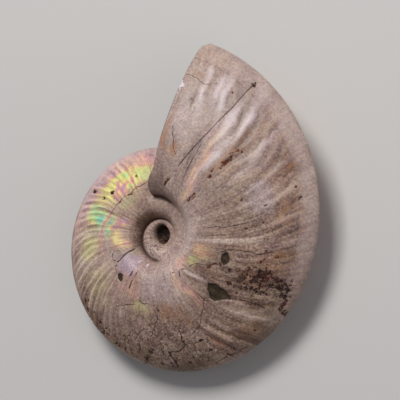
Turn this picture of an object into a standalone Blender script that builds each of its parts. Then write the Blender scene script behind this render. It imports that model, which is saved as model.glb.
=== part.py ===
"""An ammonite fossil, one solid stone, lying on its flank as it rests on a table.

The shell is a flat coil that grows by the same ratio in every turn. It is first made with the coil's
axis along Z and its median plane at Z 0: one flank is a flat grid wound onto the coil, and the other
is its mirror image. Hardened sediment closes the mouth. Then the stone is laid down.

A place on the shell is named by its turn, an angle that is 0 at the mouth and negative behind it, and
by its share of the whorl's height, from 0 at the inner seam to 1 at the outer edge, the venter.
"""

import math

import bmesh
import bpy
from mathutils import Matrix, Vector, geometry

# The coil
MOUTH_RADIUS = 0.0776
MOUTH_DIRECTION = math.radians(77)
GROWTH_PER_TURN = 2.307
UMBILICUS_SHARE = 0.189
TURNS = 2.25

# The whorl's cross-section: a steep wall from the seam, a rounded crest, a flat flank, a narrow venter
MOUTH_HALF_THICKNESS = 0.0193
THICKNESS_GROWTH_PER_TURN = 2.2
CREST_SHARE = 0.25
WALL_CURVE = 2.8
FLANK_CURVE = 1.7
VENTER_CURVE = 0.7
SEAM_SINK = 0.06
SEAM_SINK_SHARE = 0.1

# The ribs
RIBS_PER_TURN = 72
RIB_HEIGHT = 0.00045
RIB_FULL_SHARE = 0.62
RIB_FADE_SHARES = (0.86, 0.97)
RIB_BEND = math.radians(9)
RIB_BEND_SHARE = 0.55
BEADS_PER_TURN = 24
BEAD_HEIGHT = 0.0005

# The lip, as its lead over the mouth's direction: it runs ahead on the flank, and most on the wall
LIP_FLANK_LEAD = math.radians(4.5)
LIP_FLANK_CURVE = 1.5
LIP_WALL_LEAD = math.radians(14)
LIP_WALL_SHARE = 0.2
LIP_CORNER = math.radians(1.4)
LIP_CORNER_SHARE = 0.96
LIP_REACH = math.radians(55)

# The sediment in the mouth
SEDIMENT_SETBACK = math.radians(3)
SEDIMENT_SETBACK_SHARE = 0.25
SEDIMENT_STEP = 0.0048
SEDIMENT_ROWS = 5

# The pit in the middle of each flank, where the first whorls are lost in sediment
PIT_FLOOR_SHARE = 0.3

# How the stone lies, and how much its highest points are worn flat underneath
REST_LEAN = math.radians(5.6)
REST_LEAN_DIRECTION = math.radians(270)
REST_WEAR = 0.0006

# The grid
COLUMNS_PER_RIB = 2
FLANK_ROWS = 7
FLANK_CROWDING = 1.5
WALL_ROWS = 3
WALL_CROWDING = 1.6
WELD_DISTANCE = 0.00001

SHARP_EDGE = math.radians(40)
SHELL_COLOUR = (0.40, 0.31, 0.27, 1.0)
SHELL_ROUGHNESS = 0.42

FULL_TURN = 2 * math.pi

# The height share at which the next whorl's inner seam lies on a whorl's flank
SEAM_SHARE = UMBILICUS_SHARE * (GROWTH_PER_TURN - 1) / (1 - UMBILICUS_SHARE)


def ease(low, high, value):
    """A smooth step, from 0 at low to 1 at high."""
    t = min(1.0, max(0.0, (value - low) / (high - low)))
    return t * t * (3 - 2 * t)


def venter_radius(turn):
    return MOUTH_RADIUS * GROWTH_PER_TURN ** (turn / FULL_TURN)


def half_thickness(turn):
    return MOUTH_HALF_THICKNESS * THICKNESS_GROWTH_PER_TURN ** (turn / FULL_TURN)


def whorl_outline(share):
    """The flank's height above the median plane, as a share of the whorl's half thickness."""
    if share >= CREST_SHARE:
        outward = min(1.0, (share - CREST_SHARE) / (1 - CREST_SHARE))
        return (1 - outward**FLANK_CURVE) ** VENTER_CURVE
    foot = (whorl_outline(SEAM_SHARE) - SEAM_SINK) / THICKNESS_GROWTH_PER_TURN
    return 1 - (1 - foot) * ((CREST_SHARE - share) / CREST_SHARE) ** WALL_CURVE


def seam_groove(column, share):
    """How deep the flank sinks beside the next whorl's seam, which ends at the mouth."""
    beside = 1 - ease(0, SEAM_SINK_SHARE, abs(share - SEAM_SHARE))
    return SEAM_SINK * beside * (1 - ease(-FULL_TURN, -FULL_TURN + LIP_REACH / 3, column))


def rib_relief(column, share):
    """The ribs' height: greatest on the outer flank, and nothing on the wall and the venter."""
    strength = ease(SEAM_SHARE, RIB_FULL_SHARE, share) * (1 - ease(*RIB_FADE_SHARES, share))
    strength *= ease(0, LIP_REACH, column + FULL_TURN)
    return RIB_HEIGHT * strength * math.cos(RIBS_PER_TURN * column)


def bead_relief(column, share):
    """The beads' height, on the bare band of the inner whorls."""
    strength = math.sin(math.pi * min(1, share / SEAM_SHARE)) * ease(0, math.pi, -FULL_TURN - column)
    return BEAD_HEIGHT * strength * math.cos(BEADS_PER_TURN * column)


def lip_lead(share):
    """How far ahead of the mouth's direction the lip runs."""
    on_flank = LIP_FLANK_LEAD * (1 - min(1, share)) ** LIP_FLANK_CURVE
    on_wall = LIP_WALL_LEAD * (1 - ease(0, LIP_WALL_SHARE, share))
    return on_flank + on_wall - LIP_CORNER * ease(LIP_CORNER_SHARE, 1, share)


def lead_below_mouth(share):
    """How far ahead of the mouth's direction the whorl that the mouth straddles comes out of the
    sediment. It meets the lip at the seam, and is set back behind it from there on."""
    if share <= SEAM_SHARE:
        return lip_lead(0) * share / SEAM_SHARE
    beyond = share - SEAM_SHARE
    return lip_lead(beyond / GROWTH_PER_TURN) - SEDIMENT_SETBACK * ease(0, SEDIMENT_SETBACK_SHARE, beyond)


def turn_of(column, share):
    """The turn at this height of a grid column. The columns follow the ribs, apart from those that
    turn into the lip and those that turn with it on the whorl below."""
    near_mouth = 1 - ease(0, LIP_REACH, abs(column))
    below_mouth = 1 - ease(0, LIP_REACH, abs(column + FULL_TURN))
    outward = max(0, share - RIB_BEND_SHARE) / (1 - RIB_BEND_SHARE)
    bend = RIB_BEND * outward**2 * (1 - near_mouth - below_mouth)
    return column + bend + lip_lead(share) * near_mouth + lead_below_mouth(share) * below_mouth


def shell_point(column, share):
    turn = turn_of(column, share)
    outer = venter_radius(turn)
    radius = outer * (UMBILICUS_SHARE + (1 - UMBILICUS_SHARE) * share)
    height = half_thickness(turn) * (whorl_outline(share) - seam_groove(column, share))
    height += (rib_relief(column, share) + bead_relief(column, share)) * outer / MOUTH_RADIUS
    direction = MOUTH_DIRECTION + turn
    return Vector((radius * math.cos(direction), radius * math.sin(direction), height))


def flank_share(row):
    """From the seam's share to the venter, closest at the venter."""
    return 1 - (1 - SEAM_SHARE) * (1 - row) ** FLANK_CROWDING


def wall_share(row):
    """From the inner seam to the next whorl's, closest at the wall's foot."""
    return SEAM_SHARE * row**WALL_CROWDING


def wind_band(bm, turns, rows, share_at):
    """Winds a flat grid onto the last turns of the coil."""
    columns = round(turns * RIBS_PER_TURN * COLUMNS_PER_RIB)
    grid = bmesh.ops.create_grid(bm, x_segments=columns, y_segments=rows, size=0.5)
    for vertex in grid["verts"]:
        column = -turns * FULL_TURN * (0.5 - vertex.co.x)
        vertex.co = shell_point(column, share_at(min(1.0, max(0.0, vertex.co.y + 0.5))))


def make_both_flanks():
    """The last turn's flank, and the wall that every whorl leaves bare, with their mirror image."""
    bm = bmesh.new()
    wind_band(bm, 1, FLANK_ROWS, flank_share)
    wind_band(bm, TURNS, WALL_ROWS, wall_share)
    geom = bm.verts[:] + bm.edges[:] + bm.faces[:]
    bmesh.ops.mirror(bm, geom=geom, merge_dist=WELD_DISTANCE, axis="Z")
    bmesh.ops.remove_doubles(bm, verts=bm.verts, dist=WELD_DISTANCE)
    return bm


def open_loops(bm):
    """The vertices along each open edge, in order, with the mouth's loop first."""
    waiting = [edge for edge in bm.edges if edge.is_boundary]
    loops = []
    while waiting:
        loop = list(waiting.pop().verts)
        while loop[-1] is not loop[0]:
            step = next(edge for edge in loop[-1].link_edges if edge in waiting)
            waiting.remove(step)
            loop.append(step.other_vert(loop[-1]))
        loops.append(loop[:-1])
    return sorted(loops, key=lambda loop: -max(vertex.co.length for vertex in loop))


def encloses(outline, point):
    inside = False
    for a, b in zip(outline, outline[1:] + outline[:1]):
        if (a.y > point.y) != (b.y > point.y):
            crossing = a.x + (b.x - a.x) * (point.y - a.y) / (b.y - a.y)
            inside ^= point.x < crossing
    return inside


def nearest(point, others):
    return min((point - other).length for other in others)


def lip_of(outline):
    """The mouth's outer edge: the longer way round between the outline's two seam points."""
    ends = sorted(sorted(range(len(outline)), key=lambda i: outline[i].x)[:2])
    ways = (outline[ends[0] : ends[1] + 1], outline[ends[1] :] + outline[: ends[0] + 1])
    return max(ways, key=lambda way: max(point.x for point in way))


def sediment_points(outline):
    """A staggered lattice that fills the outline."""
    points = []
    for column in range(int(MOUTH_RADIUS / SEDIMENT_STEP) + 1):
        for row in range(-SEDIMENT_ROWS, SEDIMENT_ROWS + 1):
            point = Vector((column + row % 2 / 2, row * math.sin(math.pi / 3))) * SEDIMENT_STEP
            if encloses(outline, point) and nearest(point, outline) > SEDIMENT_STEP / 2:
                points.append(point)
    return points


def close_mouth(bm, loop):
    """Spans the mouth with sediment, set back behind the lip. It is laid out flat, as distance from
    the coil's axis and height, and then turned to its place."""
    outline = [Vector((vertex.co.xy.length, vertex.co.z)) for vertex in loop]
    lip = lip_of(outline)
    edges = [(i, (i + 1) % len(loop)) for i in range(len(loop))]
    points = outline + sediment_points(outline)
    flat, _, faces, sources, _, _ = geometry.delaunay_2d_cdt(points, edges, [], 1, 1e-9)
    vertices = []
    for point, source in zip(flat, sources):
        if source[0] < len(loop):
            vertices.append(loop[source[0]])
            continue
        share = (point.x / MOUTH_RADIUS - UMBILICUS_SHARE) / (1 - UMBILICUS_SHARE)
        setback = SEDIMENT_SETBACK * ease(0, SEDIMENT_STEP, nearest(point, lip))
        direction = MOUTH_DIRECTION + lip_lead(share) - setback
        place = (point.x * math.cos(direction), point.x * math.sin(direction), point.y)
        vertices.append(bm.verts.new(place))
    for face in faces:
        bm.faces.new([vertices[i] for i in face])


def close_umbilicus(bm, loop):
    """Closes the coil's inner end with a fan of faces that goes down to the pit's floor."""
    height = sum(vertex.co.z for vertex in loop) / len(loop)
    middle = bm.verts.new((0, 0, height * PIT_FLOOR_SHARE))
    for a, b in zip(loop, loop[1:] + loop[:1]):
        bm.faces.new((a, b, middle))


def lay_down(bm):
    """Leans the coil to the way it rests, wears its lowest points flat and puts it on Z 0, centred."""
    across = Matrix.Rotation(REST_LEAN_DIRECTION + math.pi / 2, 3, "Z") @ Vector((1, 0, 0))
    bm.transform(Matrix.Rotation(REST_LEAN, 4, across))
    lowest = min(vertex.co.z for vertex in bm.verts)
    geom = bm.verts[:] + bm.edges[:] + bm.faces[:]
    ground = Vector((0, 0, lowest + REST_WEAR))
    cut = bmesh.ops.bisect_plane(
        bm, geom=geom, plane_co=ground, plane_no=(0, 0, -1), clear_outer=True
    )
    edges = [item for item in cut["geom_cut"] if isinstance(item, bmesh.types.BMEdge)]
    bmesh.ops.holes_fill(bm, edges=edges, sides=0)
    low = [min(vertex.co[axis] for vertex in bm.verts) for axis in range(3)]
    high = [max(vertex.co[axis] for vertex in bm.verts) for axis in range(3)]
    centre = Vector(((low[0] + high[0]) / 2, (low[1] + high[1]) / 2, low[2]))
    bmesh.ops.translate(bm, verts=bm.verts, vec=-centre)


def make_ammonite():
    bm = make_both_flanks()
    mouth, *inner_ends = open_loops(bm)
    close_mouth(bm, mouth)
    for loop in inner_ends:
        close_umbilicus(bm, loop)
    lay_down(bm)
    bmesh.ops.triangulate(bm, faces=bm.faces)
    bmesh.ops.recalc_face_normals(bm, faces=bm.faces)
    mesh = bpy.data.meshes.new("ammonite")
    bm.to_mesh(mesh)
    bm.free()
    mesh.shade_smooth()
    mesh.set_sharp_from_angle(angle=SHARP_EDGE)
    return bpy.data.objects.new("ammonite", mesh)


def make_shell_material():
    material = bpy.data.materials.new("fossil shell")
    material.use_nodes = True
    shader = material.node_tree.nodes["Principled BSDF"]
    shader.inputs["Base Color"].default_value = SHELL_COLOUR
    shader.inputs["Roughness"].default_value = SHELL_ROUGHNESS
    shader.inputs["Metallic"].default_value = 0.0
    return material


def main():
    for old in list(bpy.data.objects):
        bpy.data.objects.remove(old)
    collection = bpy.data.collections.new("ammonite")
    bpy.context.scene.collection.children.link(collection)
    ammonite = make_ammonite()
    ammonite.data.materials.append(make_shell_material())
    collection.objects.link(ammonite)


main()
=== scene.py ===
import math

import bmesh
import bpy
import numpy as np
from mathutils import Matrix, Vector, geometry


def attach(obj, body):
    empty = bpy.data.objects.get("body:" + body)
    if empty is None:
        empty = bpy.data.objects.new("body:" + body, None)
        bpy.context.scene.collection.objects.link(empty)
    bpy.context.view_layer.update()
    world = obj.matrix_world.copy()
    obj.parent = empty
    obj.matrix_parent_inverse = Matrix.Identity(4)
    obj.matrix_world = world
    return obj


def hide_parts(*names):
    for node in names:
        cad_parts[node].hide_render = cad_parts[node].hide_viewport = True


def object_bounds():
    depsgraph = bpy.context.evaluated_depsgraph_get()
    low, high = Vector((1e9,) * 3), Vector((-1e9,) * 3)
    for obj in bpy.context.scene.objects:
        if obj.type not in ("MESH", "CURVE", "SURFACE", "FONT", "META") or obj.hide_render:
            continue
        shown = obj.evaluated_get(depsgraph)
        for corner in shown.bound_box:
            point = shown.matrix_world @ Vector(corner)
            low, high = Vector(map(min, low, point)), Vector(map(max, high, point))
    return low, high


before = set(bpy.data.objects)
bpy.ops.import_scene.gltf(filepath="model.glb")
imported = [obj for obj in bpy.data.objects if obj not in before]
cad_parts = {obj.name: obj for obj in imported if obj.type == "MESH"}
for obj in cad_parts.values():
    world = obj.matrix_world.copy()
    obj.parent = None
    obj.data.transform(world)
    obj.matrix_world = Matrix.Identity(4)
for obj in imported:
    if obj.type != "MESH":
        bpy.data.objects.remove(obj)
cad_low, cad_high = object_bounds()

# The coil
# The shell is one flat coil that grows by the same ratio in every turn, now stone right through. A tree of
# nodes winds flat grids onto it and raises the ribs. A place on it is a turn, 0 at the mouth and negative
# behind it, and a share of the whorl's height, from 0 at the inner seam to 1 at the venter.

# Lengths are in metres and angles in degrees
MOUTH_RADIUS = 0.0776
MOUTH_DIRECTION = 77
GROWTH_PER_TURN = 2.307
UMBILICUS_SHARE = 0.189
SHELL_TURNS = 2.75
MOUTH_HALF_THICKNESS = 0.0193
THICKNESS_GROWTH_PER_TURN = 2.2
CREST_SHARE = 0.25
WALL_CURVE = 2.8
FLANK_CURVE = 1.7
VENTER_CURVE = 0.7
SEAM_SINK = 0.06
SEAM_SINK_SHARE = 0.1
SEAM_SHARE = UMBILICUS_SHARE * (GROWTH_PER_TURN - 1) / (1 - UMBILICUS_SHARE)
FILLED_SEAM_START = (-0.50, -0.42)
FILLED_SEAM_END = (-0.08, -0.03)
FILLED_MIDDLE_END = (-1.12, -1.08)

LIP_FLANK_LEAD = 4.5
LIP_FLANK_CURVE = 1.5
LIP_WALL_LEAD = 14
LIP_WALL_SHARE = 0.2
LIP_CORNER = 1.4
LIP_CORNER_SHARE = 0.96
LIP_REACH = 55
GROOVE_REACH = LIP_REACH / 3
SEDIMENT_SETBACK = 3
SEDIMENT_SETBACK_SHARE = 0.25

RIBS_PER_TURN = 72
RIB_HEIGHT = 0.00050
RIBLET_HEIGHT = 0.00005
RIBLET_PALENESS = 0.15
RIB_SHARES = (0.30, 0.68)
RIB_FOOT_STRENGTH = 0.15
RIB_FADE_SHARES = (0.86, 0.95)
RIB_BEND = 14
RIB_SWAY = 2.2
RELIEF_START = (0, 0.08)
RELIEF_END = (0.93, 0.995)
SWAYS_PER_DEGREE = 0.05
SWAYS_PER_SHARE = 2
RIB_PATCHES_PER_METRE = 70.0
SICKLE_RIBS_START = (-62, -40)
BEADS_PER_TURN = 24
BEAD_HEIGHT = 0.00035
BEAD_SWAY = 3
BEAD_START_TURNS = (0, 0.5)
DENT_HEIGHT = 0.00035
DENTS_PER_METRE = 28.0

COLUMNS_PER_TURN = 720
# Rows of the grids on the upper side, 1, and on the lower side, -1
FLANK_ROWS = {1: 60, -1: 22}
WALL_ROWS = {1: 11, -1: 5}
FLANK_CROWDING = 1.35
WALL_CROWDING = 1.6
MERGE_DISTANCE = 0.00001
SEED = 11
NOISE_STEP_PER_SEED = 0.1
NOISE_STEP_PER_SIDE = 0.02


class Field:
    """A value that a tree of nodes works out, written with Python's own signs."""

    def __init__(self, socket):
        self.socket = socket

    def math(self, operation, *terms):
        node = self.socket.id_data.nodes.new("ShaderNodeMath")
        node.operation = operation
        for slot, term in zip(node.inputs, terms):
            plug(slot, term)
        return Field(node.outputs[0])

    def __add__(self, other):
        return self.math("ADD", self, other)

    __radd__ = __add__

    def __sub__(self, other):
        return self.math("SUBTRACT", self, other)

    def __rsub__(self, other):
        return self.math("SUBTRACT", other, self)

    def __mul__(self, other):
        return self.math("MULTIPLY", self, other)

    __rmul__ = __mul__

    def __truediv__(self, other):
        return self.math("DIVIDE", self, other)

    def __pow__(self, other):
        return self.math("POWER", self, other)

    def __abs__(self):
        return self.math("ABSOLUTE", self)

    def above(self, other):
        return self.math("GREATER_THAN", self, other)

    def clip(self, low, high):
        return self.math("MINIMUM", self.math("MAXIMUM", self, low), high)


def plug(slot, value):
    """Links a field to a node's input, or writes a plain value in it."""
    if isinstance(value, Field):
        slot.id_data.links.new(value.socket, slot)
    else:
        slot.default_value = value


def add_node(tree, kind, settings=None, **inputs):
    """A new node. The inputs are named as on the node, in lower case with _ for a space."""
    node = tree.nodes.new(kind)
    for name, value in (settings or {}).items():
        setattr(node, name, value)
    for name, value in inputs.items():
        slot = next(s for s in node.inputs if s.enabled and s.name.lower().replace(" ", "_") == name)
        plug(slot, value)
    return node


def ease(low, high, value):
    """A smooth step, from 0 at low to 1 at high, of a field or of numbers."""
    if not isinstance(value, Field):
        part = np.clip((value - low) / (high - low), 0, 1)
        return part * part * (3 - 2 * part)
    tree = value.socket.id_data
    node = add_node(tree, "ShaderNodeMapRange", {"interpolation_type": "SMOOTHSTEP"}, value=value)
    node.inputs["From Min"].default_value = low
    node.inputs["From Max"].default_value = high
    return Field(node.outputs["Result"])


def blend(first, second, share):
    return first + (second - first) * share


def vector_of(tree, x, y, z):
    return Field(add_node(tree, "ShaderNodeCombineXYZ", x=x, y=y, z=z).outputs[0])


def noise(tree, vector, scale, detail=2.0, roughness=0.5):
    """Noise from about -1 to 1."""
    node = add_node(
        tree, "ShaderNodeTexNoise", vector=vector, scale=scale, detail=detail, roughness=roughness
    )
    return (Field(node.outputs[0]) - 0.5) * 3


def curve_of(field, points):
    """A smooth curve through points, from 0 to 1 both ways."""
    node = field.socket.id_data.nodes.new("ShaderNodeFloatCurve")
    plug(node.inputs["Value"], field)
    curve = node.mapping.curves[0]
    curve.points[0].location = points[0]
    curve.points[1].location = points[-1]
    for point in points[1:-1]:
        curve.points.new(*point)
    node.mapping.update()
    return Field(node.outputs[0])


def new_tree(name, inputs):
    """A tree of geometry nodes with named inputs, those inputs as fields, and the node that it ends in."""
    tree = bpy.data.node_groups.new(name, "GeometryNodeTree")
    for way in ("INPUT", "OUTPUT"):
        tree.interface.new_socket("Geometry", in_out=way, socket_type="NodeSocketGeometry")
    for label, value in inputs.items():
        kind = "NodeSocketInt" if isinstance(value, int) else "NodeSocketFloat"
        tree.interface.new_socket(label, in_out="INPUT", socket_type=kind).default_value = value
    start = tree.nodes.new("NodeGroupInput")
    fields = {label: Field(start.outputs[label]) for label in inputs}
    return tree, fields, tree.nodes.new("NodeGroupOutput")


def lip_lead(share):
    """How far ahead of the mouth's direction the lip runs, in degrees."""
    on_flank = LIP_FLANK_LEAD * (1 - share.clip(0, 1)) ** LIP_FLANK_CURVE
    on_wall = LIP_WALL_LEAD * (1 - ease(0, LIP_WALL_SHARE, share))
    return on_flank + on_wall - LIP_CORNER * ease(LIP_CORNER_SHARE, 1, share)


def lead_below_mouth(share):
    """The lead of the whorl that the mouth straddles, where it comes out of the sediment."""
    on_wall = (LIP_FLANK_LEAD + LIP_WALL_LEAD) * share / SEAM_SHARE
    beyond = (share - SEAM_SHARE).clip(0, 1)
    on_flank = lip_lead(beyond / GROWTH_PER_TURN) - SEDIMENT_SETBACK * ease(0, SEDIMENT_SETBACK_SHARE, beyond)
    return blend(on_wall, on_flank, share.above(SEAM_SHARE))


def flank_height(share):
    """The flank's height above the median plane, as a share of the whorl's half thickness."""
    seam_outward = (SEAM_SHARE - CREST_SHARE) / (1 - CREST_SHARE)
    seam_height = (1 - seam_outward**FLANK_CURVE) ** VENTER_CURVE
    foot = (seam_height - SEAM_SINK) / THICKNESS_GROWTH_PER_TURN
    outward = ((share - CREST_SHARE) / (1 - CREST_SHARE)).clip(0, 1)
    inward = ((CREST_SHARE - share) / CREST_SHARE).clip(0, 1)
    return (1 - outward**FLANK_CURVE).clip(0, 1) ** VENTER_CURVE - (1 - foot) * inward**WALL_CURVE


def rib_bend(degrees, share):
    """How far a rib leads at this height, in degrees: like a sickle near the mouth, plain behind it."""
    plain = [(0, 0), (0.3, 0.05), (0.5, 0.14), (0.6, 0.22), (0.7, 0.36), (0.8, 0.53), (0.9, 0.71), (1, 0.85)]
    sickle = [(0, 0), (0.1, 0.08), (0.25, 0.36), (0.4, 0.57), (0.5, 0.58)]
    sickle += [(0.66, 0.48), (0.8, 0.68), (0.92, 0.97), (1, 1)]
    near_mouth = ease(*SICKLE_RIBS_START, degrees)
    return RIB_BEND * blend(curve_of(share, plain), curve_of(share, sickle), near_mouth)


def filled_seam(turn):
    """How level the inner seam is filled, from 0 to 1: behind the mouth and in the middle of the coil."""
    behind_mouth = ease(*FILLED_SEAM_START, turn) * (1 - ease(*FILLED_SEAM_END, turn))
    return behind_mouth + 1 - ease(*FILLED_MIDDLE_END, turn)


def rib_presence(turn):
    """How strongly the ribs stand out round the last whorl, from its start to the mouth."""
    strong = [(0, 0.6), (0.12, 0.8), (0.37, 1)]
    worn_away = [(0.43, 0.6), (0.5, 0.2), (0.57, 0.12), (0.64, 0.5), (0.7, 0.5), (0.76, 0.35), (0.83, 0.32)]
    near_mouth = [(0.89, 0.3), (0.95, 0.2), (1, 0.15)]
    return curve_of(turn + 1, strong + worn_away + near_mouth)


sizes = {
    "Mouth Radius": MOUTH_RADIUS,
    "Growth per Turn": GROWTH_PER_TURN,
    "Umbilicus Share": UMBILICUS_SHARE,
    "Mouth Half Thickness": MOUTH_HALF_THICKNESS,
    "Thickness Growth per Turn": THICKNESS_GROWTH_PER_TURN,
    "Rib Height": RIB_HEIGHT,
    "Riblet Height": RIBLET_HEIGHT,
    "Bead Height": BEAD_HEIGHT,
    "Dent Height": DENT_HEIGHT,
    "Columns per Turn": COLUMNS_PER_TURN,
    "Seed": SEED,
}
band_inputs = sizes | {"Side": 1.0, "Turns": 1.0, "Rows": 2, "Low Share": 0.0, "High Share": 1.0}
band_inputs |= {"Crowding at Low": 1.0, "Crowding at High": 1.0}
band, size, band_end = new_tree("Whorl band", band_inputs)

columns = size["Columns per Turn"] * size["Turns"] + 1
grid = add_node(band, "GeometryNodeMeshGrid", vertices_x=columns, vertices_y=size["Rows"] + 1)
grid_place = Field(band.nodes.new("GeometryNodeInputPosition").outputs[0])
flat = add_node(band, "ShaderNodeSeparateXYZ", vector=grid_place)
column = (Field(flat.outputs["X"]) - 0.5) * size["Turns"]
row = (Field(flat.outputs["Y"]) + 0.5).clip(0, 1)
row = 1 - (1 - row ** size["Crowding at Low"]) ** size["Crowding at High"]
share = blend(size["Low Share"], size["High Share"], row)

near_mouth = 1 - ease(0, LIP_REACH / 360, abs(column))
below_mouth = 1 - ease(0, LIP_REACH / 360, abs(column + 1))
lead = lip_lead(share) * near_mouth + lead_below_mouth(share) * below_mouth
turn = column + lead / 360
degrees = turn * 360
outer = size["Mouth Radius"] * size["Growth per Turn"] ** turn
radius = outer * (size["Umbilicus Share"] + (1 - size["Umbilicus Share"]) * share)
direction = math.radians(1) * (degrees + MOUTH_DIRECTION)
east = radius * direction.math("COSINE", direction)
north = radius * direction.math("SINE", direction)

last_whorl = ease(-1, -1 + LIP_REACH / 360, column)
on_last_whorl = last_whorl * ease(*RELIEF_START, share) * (1 - ease(*RELIEF_END, share))
noise_step = size["Side"] * NOISE_STEP_PER_SIDE + size["Seed"] * NOISE_STEP_PER_SEED
here = vector_of(band, east, north, noise_step)
ahead = degrees - rib_bend(degrees, share)
sway_place = vector_of(
    band, ahead * SWAYS_PER_DEGREE, share * SWAYS_PER_SHARE, size["Side"] + size["Seed"]
)
sway = noise(band, sway_place, 1.0)
phase = (ahead + RIB_SWAY * sway) * (RIBS_PER_TURN / 360 * 2 * math.pi)
rib = phase.math("COSINE", phase)
riblet_phase = phase * 2 + 2 * sway
riblet = riblet_phase.math("COSINE", riblet_phase)
patchy = (noise(band, here, RIB_PATCHES_PER_METRE) * 0.5 + 0.8).clip(0.2, 1.5)
rib_strength = blend(RIB_FOOT_STRENGTH, 1.0, ease(*RIB_SHARES, share)) * (1 - ease(*RIB_FADE_SHARES, share))
rib_strength = rib_strength * on_last_whorl * rib_presence(column)
relief = size["Rib Height"] * rib * rib_strength * patchy
relief = relief + size["Riblet Height"] * riblet * rib_strength
relief = relief + size["Dent Height"] * noise(band, here, DENTS_PER_METRE, 4.0) * on_last_whorl
in_wall = (share * (math.pi / SEAM_SHARE)).clip(0, math.pi)
bead_strength = in_wall.math("SINE", in_wall) * ease(*BEAD_START_TURNS, -1 * column - 1)
bead_phase = column * (BEADS_PER_TURN * 2 * math.pi) + BEAD_SWAY * sway
beads = bead_phase.math("COSINE", bead_phase) * patchy
relief = relief + size["Bead Height"] * beads * bead_strength

groove = SEAM_SINK * (1 - ease(0, SEAM_SINK_SHARE, abs(share - SEAM_SHARE)))
groove = groove * (1 - ease(-1, -1 + GROOVE_REACH / 360, column))
groove = groove * (1 - THICKNESS_GROWTH_PER_TURN * filled_seam(column + 1))
groove = groove - SEAM_SINK * filled_seam(column) * (1 - ease(0, CREST_SHARE, share))
half_thickness = size["Mouth Half Thickness"] * size["Thickness Growth per Turn"] ** turn
height = half_thickness * (flank_height(share) - groove) + relief * outer / size["Mouth Radius"]


def store(geometry_so_far, name, kind, domain, value):
    """The geometry with a named value stored on it."""
    settings = {"data_type": kind, "domain": domain}
    node = add_node(
        band, "GeometryNodeStoreNamedAttribute", settings, geometry=geometry_so_far, value=value
    )
    node.inputs["Name"].default_value = name
    return Field(node.outputs[0])


place = vector_of(band, degrees + MOUTH_DIRECTION, share, size["Side"])
growth = vector_of(band, ahead, share, size["Side"])
crest = rib * rib_strength * patchy + riblet * RIBLET_PALENESS * rib_strength
wound = store(Field(grid.outputs["Mesh"]), "place", "FLOAT_VECTOR", "CORNER", place)
wound = store(wound, "growth", "FLOAT_VECTOR", "CORNER", growth)
wound = store(wound, "crest", "FLOAT", "POINT", crest)
position = vector_of(band, east, north, height * size["Side"])
wound = add_node(band, "GeometryNodeSetPosition", geometry=wound, position=position)
band.links.new(wound.outputs[0], band_end.inputs[0])

coil_inputs = sizes | {"Shell Turns": SHELL_TURNS}
coil_tree, coil_size, coil_end = new_tree("Ammonite coil", coil_inputs)
joined = coil_tree.nodes.new("GeometryNodeJoinGeometry")
for side in (1, -1):
    flank = {"Turns": 1.0, "Rows": FLANK_ROWS[side], "Low Share": SEAM_SHARE, "High Share": 1.0}
    flank |= {"Crowding at Low": 1.0, "Crowding at High": FLANK_CROWDING}
    wall = {"Turns": coil_size["Shell Turns"], "Rows": WALL_ROWS[side], "Low Share": 0.0}
    wall |= {"High Share": SEAM_SHARE, "Crowding at Low": WALL_CROWDING, "Crowding at High": 1.0}
    for settings in (flank, wall):
        settings |= {"Side": side} | {label: coil_size[label] for label in sizes}
        group = coil_tree.nodes.new("GeometryNodeGroup")
        group.node_tree = band
        for label, value in settings.items():
            plug(group.inputs[label], value)
        coil_tree.links.new(group.outputs[0], joined.inputs[0])
merged = add_node(
    coil_tree, "GeometryNodeMergeByDistance", geometry=Field(joined.outputs[0]), distance=MERGE_DISTANCE
)
realized = add_node(coil_tree, "GeometryNodeRealizeInstances", geometry=Field(merged.outputs[0]))
shell_material = bpy.data.materials.new("fossil shell")
painted = add_node(coil_tree, "GeometryNodeSetMaterial", geometry=Field(realized.outputs[0]))
painted.inputs["Material"].default_value = shell_material
coil_tree.links.new(painted.outputs[0], coil_end.inputs[0])


def wind_coil(values):
    """The coil as a plain mesh, made by the tree with these values."""
    seed_object = bpy.data.objects.new("coil seed", bpy.data.meshes.new("coil seed"))
    bpy.context.scene.collection.objects.link(seed_object)
    modifier = seed_object.modifiers.new("Ammonite coil", "NODES")
    modifier.node_group = coil_tree
    for item in coil_tree.interface.items_tree:
        if item.in_out == "INPUT" and item.name in values:
            modifier[item.identifier] = values[item.name]
    evaluated = seed_object.evaluated_get(bpy.context.evaluated_depsgraph_get())
    made = bpy.data.meshes.new_from_object(evaluated)
    seed_object.modifiers.remove(modifier)
    bpy.data.objects.remove(seed_object)
    return made


smooth = {"Rib Height": 0.0, "Riblet Height": 0.0, "Bead Height": 0.0, "Dent Height": 0.0}
smooth_coil = wind_coil(coil_inputs | smooth)
coil = bmesh.new()
coil.from_mesh(wind_coil(coil_inputs))

# The sediment
# Mud filled the last chamber of the empty shell and the middle of the coil, and hardened. In the mouth it
# is set back behind the shell's thin broken edge. It was never a piece of its own that could come away.
SHELL_WALL = 0.0011
SEDIMENT_EDGE = 0.0005
SEDIMENT_GRAIN = 0.0013
SEDIMENT_ROUGHNESS = 0.0006
GRAIN_CLEARANCE = 0.6
LIP_CLEARANCE = 0.95
SAME_POINT = 1e-9
PIT_FLOOR_SHARE = 0.3


def open_loops(bm):
    """The vertices along each open edge, in order, with the mouth's loop first."""
    used = set()
    loops = []
    for first in [edge for edge in bm.edges if edge.is_boundary]:
        if first in used:
            continue
        used.add(first)
        loop = list(first.verts)
        while loop[-1] is not loop[0]:
            step = next(edge for edge in loop[-1].link_edges if edge.is_boundary and edge not in used)
            used.add(step)
            loop.append(step.other_vert(loop[-1]))
        loops.append(loop[:-1])
    return sorted(loops, key=lambda loop: -max(vertex.co.length for vertex in loop))


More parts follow.
